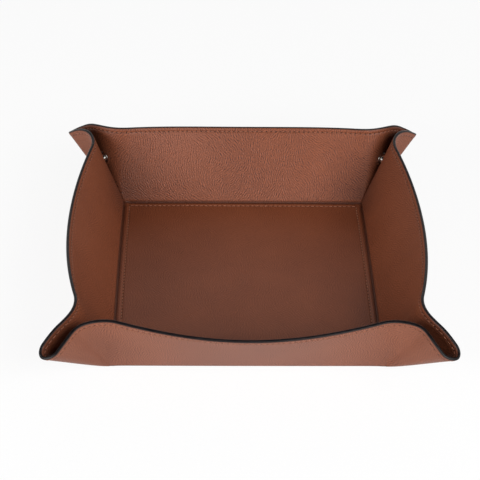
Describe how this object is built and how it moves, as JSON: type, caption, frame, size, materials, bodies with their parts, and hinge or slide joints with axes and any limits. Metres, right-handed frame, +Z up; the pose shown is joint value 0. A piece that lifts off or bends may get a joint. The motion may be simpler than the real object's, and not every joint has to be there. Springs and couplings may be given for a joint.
{
  "type": "trinket tray",
  "caption": "Square leather trinket tray with four flared walls, the corners pinched outwards into ears and held by press studs, opening flat.",
  "frame": {"origin": "centre of the underside, on the surface that the tray stands on", "axes": "+Z up; +X to the right of the picture, along the front wall; +Y to the back"},
  "size_m": [0.322, 0.33, 0.067],
  "materials": {
    "outer_leather": "fine pebbled grain, satin",
    "lining_leather": "fine pebbled grain, satin",
    "edge_paint": "smooth edge paint",
    "board": "pressed fibre board",
    "nickel": "bright nickel plate"
  },
  "bodies": {
    "base": {"base_skin": "outer_leather", "base_board": "board", "base_lining": "lining_leather"},
    "wall_front": {"front_skin": "outer_leather", "front_board": "board", "front_lining": "lining_leather", "front_edge": "edge_paint"},
    "wall_back": {"back_skin": "outer_leather", "back_board": "board", "back_lining": "lining_leather", "back_edge": "edge_paint"},
    "wall_right": {"right_skin": "outer_leather", "right_board": "board", "right_lining": "lining_leather", "right_edge": "edge_paint"},
    "wall_left": {"left_skin": "outer_leather", "left_board": "board", "left_lining": "lining_leather", "left_edge": "edge_paint"},
    "ear_fl_front": {"ear_fl_front_skin": "outer_leather", "ear_fl_front_lining": "lining_leather", "ear_fl_front_edge": "edge_paint", "stud_fl": "nickel", "stud_rivet_fl": "nickel"},
    "ear_fl_side": {"ear_fl_side_skin": "outer_leather", "ear_fl_side_lining": "lining_leather", "ear_fl_side_edge": "edge_paint", "socket_fl": "nickel", "socket_rivet_fl": "nickel"},
    "ear_fr_front": {"ear_fr_front_skin": "outer_leather", "ear_fr_front_lining": "lining_leather", "ear_fr_front_edge": "edge_paint", "stud_fr": "nickel", "stud_rivet_fr": "nickel"},
    "ear_fr_side": {"ear_fr_side_skin": "outer_leather", "ear_fr_side_lining": "lining_leather", "ear_fr_side_edge": "edge_paint", "socket_fr": "nickel", "socket_rivet_fr": "nickel"},
    "ear_bl_back": {"ear_bl_back_skin": "outer_leather", "ear_bl_back_lining": "lining_leather", "ear_bl_back_edge": "edge_paint", "stud_bl": "nickel", "stud_rivet_bl": "nickel"},
    "ear_bl_side": {"ear_bl_side_skin": "outer_leather", "ear_bl_side_lining": "lining_leather", "ear_bl_side_edge": "edge_paint", "socket_bl": "nickel", "socket_rivet_bl": "nickel"},
    "ear_br_back": {"ear_br_back_skin": "outer_leather", "ear_br_back_lining": "lining_leather", "ear_br_back_edge": "edge_paint", "stud_br": "nickel", "stud_rivet_br": "nickel"},
    "ear_br_side": {"ear_br_side_skin": "outer_leather", "ear_br_side_lining": "lining_leather", "ear_br_side_edge": "edge_paint", "socket_br": "nickel", "socket_rivet_br": "nickel"}
  },
  "joints": [
    {"name": "fold_front", "type": "hinge", "parent": "base", "child": "wall_front", "pos_m": [0, -0.115, 0], "axis": [1, 0, 0], "range_deg": [0, 52]},
    {"name": "fold_back", "type": "hinge", "parent": "base", "child": "wall_back", "pos_m": [0, 0.115, 0], "axis": [-1, 0, 0], "range_deg": [0, 52]},
    {"name": "fold_right", "type": "hinge", "parent": "base", "child": "wall_right", "pos_m": [0.111, 0, 0], "axis": [0, 1, 0], "range_deg": [0, 52]},
    {"name": "fold_left", "type": "hinge", "parent": "base", "child": "wall_left", "pos_m": [-0.111, 0, 0], "axis": [0, -1, 0], "range_deg": [0, 52]},
    {"name": "bend_fl", "type": "hinge", "parent": "wall_front", "child": "ear_fl_front", "pos_m": [-0.111, -0.115, 0], "axis": [0, 0.3275, -0.9448], "range_deg": [0, 33.3]},
    {"name": "loop_fl", "type": "hinge", "parent": "ear_fl_front", "child": "ear_fl_side", "pos_m": [-0.111, -0.115, 0], "axis": [-0.5751, -0.5751, 0.5818], "range_deg": [0, 115.1]},
    {"name": "bend_fr", "type": "hinge", "parent": "wall_front", "child": "ear_fr_front", "pos_m": [0.111, -0.115, 0], "axis": [0, -0.3275, 0.9448], "range_deg": [0, 33.3]},
    {"name": "loop_fr", "type": "hinge", "parent": "ear_fr_front", "child": "ear_fr_side", "pos_m": [0.111, -0.115, 0], "axis": [-0.5751, 0.5751, -0.5818], "range_deg": [0, 115.1]},
    {"name": "bend_bl", "type": "hinge", "parent": "wall_back", "child": "ear_bl_back", "pos_m": [-0.111, 0.115, 0], "axis": [0, 0.3275, 0.9448], "range_deg": [0, 33.3]},
    {"name": "loop_bl", "type": "hinge", "parent": "ear_bl_back", "child": "ear_bl_side", "pos_m": [-0.111, 0.115, 0], "axis": [0.5751, -0.5751, -0.5818], "range_deg": [0, 115.1]},
    {"name": "bend_br", "type": "hinge", "parent": "wall_back", "child": "ear_br_back", "pos_m": [0.111, 0.115, 0], "axis": [0, -0.3275, -0.9448], "range_deg": [0, 33.3]},
    {"name": "loop_br", "type": "hinge", "parent": "ear_br_back", "child": "ear_br_side", "pos_m": [0.111, 0.115, 0], "axis": [0.5751, 0.5751, 0.5818], "range_deg": [0, 115.1]}
  ],
  "couplings": [
    {"joint": "fold_back", "follows": "fold_front", "ratio": 1},
    {"joint": "fold_right", "follows": "fold_front", "ratio": 1},
    {"joint": "fold_left", "follows": "fold_front", "ratio": 1},
    {"joint": "bend_fl", "follows": "fold_front", "ratio": 0.64},
    {"joint": "loop_fl", "follows": "fold_front", "ratio": 2.2112},
    {"joint": "bend_fr", "follows": "fold_front", "ratio": 0.64},
    {"joint": "loop_fr", "follows": "fold_front", "ratio": 2.2112},
    {"joint": "bend_bl", "follows": "fold_front", "ratio": 0.64},
    {"joint": "loop_bl", "follows": "fold_front", "ratio": 2.2112},
    {"joint": "bend_br", "follows": "fold_front", "ratio": 0.64},
    {"joint": "loop_br", "follows": "fold_front", "ratio": 2.2112}
  ]
}
